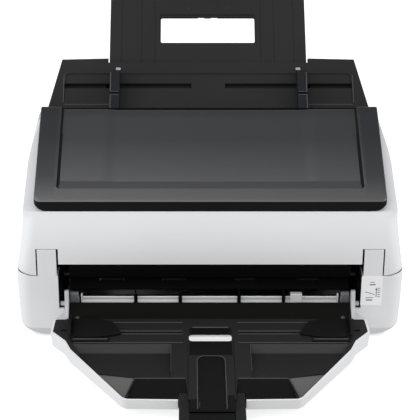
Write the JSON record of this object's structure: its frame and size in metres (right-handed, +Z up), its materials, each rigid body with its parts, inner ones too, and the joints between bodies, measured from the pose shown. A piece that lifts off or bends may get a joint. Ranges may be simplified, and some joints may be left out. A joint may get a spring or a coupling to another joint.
{
  "type": "sheet fed document scanner",
  "caption": "Desktop sheet-fed document scanner: hinged feeder cover over a straight paper path, input chute with side guides, fold-down output tray with slide-out extension.",
  "frame": {"origin": "under the middle of the whole object's box, on the surface that its feet stand on", "axes": "+X to the scanner's right seen from the front, +Y to the back, +Z up"},
  "size_m": [0.429, 0.6468, 0.3411],
  "materials": {
    "white_plastic": "fine-textured white ABS",
    "tray_white": "fine-textured white ABS",
    "panel_black": "satin black ABS",
    "black_plastic": "fine-textured black ABS",
    "dark_grey_plastic": "satin dark grey plastic",
    "grey_plastic": "satin grey plastic",
    "rubber": "matt rubber",
    "steel": "ground steel",
    "glass": "polished scan glass",
    "board_green": "solder mask"
  },
  "bodies": {
    "root": {"lower_casing": "white_plastic", "base_plate": "steel", "foot_front_left": "rubber", "foot_front_right": "rubber", "foot_rear_left": "rubber", "foot_rear_right": "rubber", "rear_cover": "white_plastic", "main_board": "board_green", "power_inlet": "black_plastic", "usb_socket": "black_plastic", "drive_motor": "steel", "side_frame_left": "black_plastic", "side_frame_right": "black_plastic", "lower_path_frame": "black_plastic", "lower_scan_glass": "glass", "lower_scan_sensor": "dark_grey_plastic", "exit_bar": "grey_plastic", "exit_ribs": "black_plastic", "input_chute": "black_plastic", "chute_shroud": "black_plastic", "drive_belt": "rubber", "icon_plate": "white_plastic"},
    "adf_cover": {"upper_cover": "white_plastic", "top_panel": "panel_black", "upper_path_frame": "black_plastic", "upper_scan_glass": "glass", "upper_scan_sensor": "dark_grey_plastic", "hopper_wall": "black_plastic", "exit_shield": "black_plastic", "hinge_pin_left": "steel", "hinge_pin_right": "steel"},
    "release_latch": {"latch_shaft": "steel", "release_lever": "black_plastic"},
    "separation_roller": {"separation_roller": "rubber"},
    "feed_idler": {"feed_idler_roller": "rubber"},
    "eject_idler": {"eject_idler_roller": "rubber"},
    "pick_roller": {"pick_roller": "rubber", "pick_shaft": "steel"},
    "feed_roller": {"feed_roller": "rubber", "feed_shaft": "steel", "feed_pulley": "dark_grey_plastic"},
    "eject_roller": {"eject_roller": "rubber", "eject_shaft": "steel", "eject_pulley": "dark_grey_plastic"},
    "motor_pulley": {"motor_pulley": "steel"},
    "input_guide_left": {"input_guide_left": "dark_grey_plastic"},
    "input_guide_right": {"input_guide_right": "dark_grey_plastic"},
    "guide_pinion": {"guide_pinion": "grey_plastic"},
    "input_extension": {"input_extension": "black_plastic"},
    "input_extension_end": {"input_extension_end": "black_plastic"},
    "output_tray": {"output_tray": "tray_white", "output_tray_liner": "black_plastic"},
    "output_guide_left": {"output_guide_left": "dark_grey_plastic"},
    "output_guide_right": {"output_guide_right": "dark_grey_plastic"},
    "output_extension": {"output_extension": "black_plastic"},
    "output_extension_end": {"output_extension_end": "black_plastic"},
    "paper_stopper": {"paper_stopper": "black_plastic"},
    "power_button": {"power_button": "dark_grey_plastic"},
    "scan_button": {"scan_button": "dark_grey_plastic"}
  },
  "joints": [
    {"name": "cover_open", "type": "hinge", "parent": "root", "child": "adf_cover", "pos_m": [0, -0.02294, 0.096], "axis": [1, 0, 0], "range_deg": [0, 50]},
    {"name": "release_lever_pull", "type": "hinge", "parent": "adf_cover", "child": "release_latch", "pos_m": [0, 0.08106, 0.183], "axis": [1, 0, 0], "range_deg": [-12, 0], "stiffness_Nm_per_rad": 0.2},
    {"name": "separation_roller_spin", "type": "hinge", "parent": "adf_cover", "child": "separation_roller", "pos_m": [0, 0.08828, 0.16075], "axis": [1, 0, 0], "continuous": true},
    {"name": "feed_idler_spin", "type": "hinge", "parent": "adf_cover", "child": "feed_idler", "pos_m": [0, 0.05841, 0.13116], "axis": [1, 0, 0], "continuous": true},
    {"name": "eject_idler_spin", "type": "hinge", "parent": "adf_cover", "child": "eject_idler", "pos_m": [0, -0.00327, 0.07562], "axis": [1, 0, 0], "continuous": true},
    {"name": "feed_roller_spin", "type": "hinge", "parent": "root", "child": "feed_roller", "pos_m": [0, 0.06938, 0.11897], "axis": [1, 0, 0], "continuous": true},
    {"name": "eject_roller_spin", "type": "hinge", "parent": "root", "child": "eject_roller", "pos_m": [0, 0.0077, 0.06343], "axis": [1, 0, 0], "continuous": true},
    {"name": "pick_roller_spin", "type": "hinge", "parent": "root", "child": "pick_roller", "pos_m": [0, 0.1006, 0.14708], "axis": [1, 0, 0], "continuous": true},
    {"name": "motor_spin", "type": "hinge", "parent": "root", "child": "motor_pulley", "pos_m": [0, 0.09906, 0.052], "axis": [1, 0, 0], "continuous": true},
    {"name": "input_guide_left_slide", "type": "slide", "parent": "root", "child": "input_guide_left", "axis": [1, 0, 0], "range_m": [-0.047, 0.08]},
    {"name": "input_guide_right_slide", "type": "slide", "parent": "root", "child": "input_guide_right", "axis": [1, 0, 0], "range_m": [-0.08, 0.047]},
    {"name": "guide_pinion_spin", "type": "hinge", "parent": "root", "child": "guide_pinion", "pos_m": [0, 0.18128, 0.22336], "axis": [0, -0.6691, 0.7431], "range_deg": [-520, 520]},
    {"name": "input_extension_slide", "type": "slide", "parent": "root", "child": "input_extension", "axis": [0, 0.7431, 0.6691], "range_m": [-0.085, 0]},
    {"name": "input_extension_end_slide", "type": "slide", "parent": "input_extension", "child": "input_extension_end", "axis": [0, 0.7431, 0.6691], "range_m": [-0.045, 0]},
    {"name": "output_tray_fold", "type": "hinge", "parent": "root", "child": "output_tray", "pos_m": [0, -0.02494, 0.0435], "axis": [1, 0, 0], "range_deg": [-88, 0]},
    {"name": "output_guide_left_slide", "type": "slide", "parent": "output_tray", "child": "output_guide_left", "axis": [1, 0, 0], "range_m": [0, 0.07]},
    {"name": "output_guide_right_slide", "type": "slide", "parent": "output_tray", "child": "output_guide_right", "axis": [1, 0, 0], "range_m": [-0.07, 0]},
    {"name": "output_extension_slide", "type": "slide", "parent": "output_tray", "child": "output_extension", "axis": [0, -0.9976, -0.0698], "range_m": [-0.048, 0]},
    {"name": "output_extension_end_slide", "type": "slide", "parent": "output_extension", "child": "output_extension_end", "axis": [0, -0.9976, -0.0698], "range_m": [-0.038, 0]},
    {"name": "paper_stopper_lift", "type": "hinge", "parent": "output_extension_end", "child": "paper_stopper", "pos_m": [0, -0.32247, 0.01197], "axis": [1, 0, 0], "range_deg": [0, 90]},
    {"name": "power_button_press", "type": "slide", "parent": "root", "child": "power_button", "axis": [-1, 0, 0], "range_m": [0, 0.002], "stiffness_N_per_m": 600},
    {"name": "scan_button_press", "type": "slide", "parent": "root", "child": "scan_button", "axis": [-1, 0, 0], "range_m": [0, 0.002], "stiffness_N_per_m": 600}
  ],
  "couplings": [
    {"joint": "eject_roller_spin", "follows": "feed_roller_spin", "ratio": 1},
    {"joint": "motor_spin", "follows": "feed_roller_spin", "ratio": 1.5},
    {"joint": "feed_idler_spin", "follows": "feed_roller_spin", "ratio": -1.2857},
    {"joint": "eject_idler_spin", "follows": "feed_roller_spin", "ratio": -1.2857},
    {"joint": "separation_roller_spin", "follows": "pick_roller_spin", "ratio": -1},
    {"joint": "input_guide_right_slide", "follows": "input_guide_left_slide", "ratio": -1},
    {"joint": "guide_pinion_spin", "follows": "input_guide_left_slide", "rad_per_m": 111.11}
  ]
}
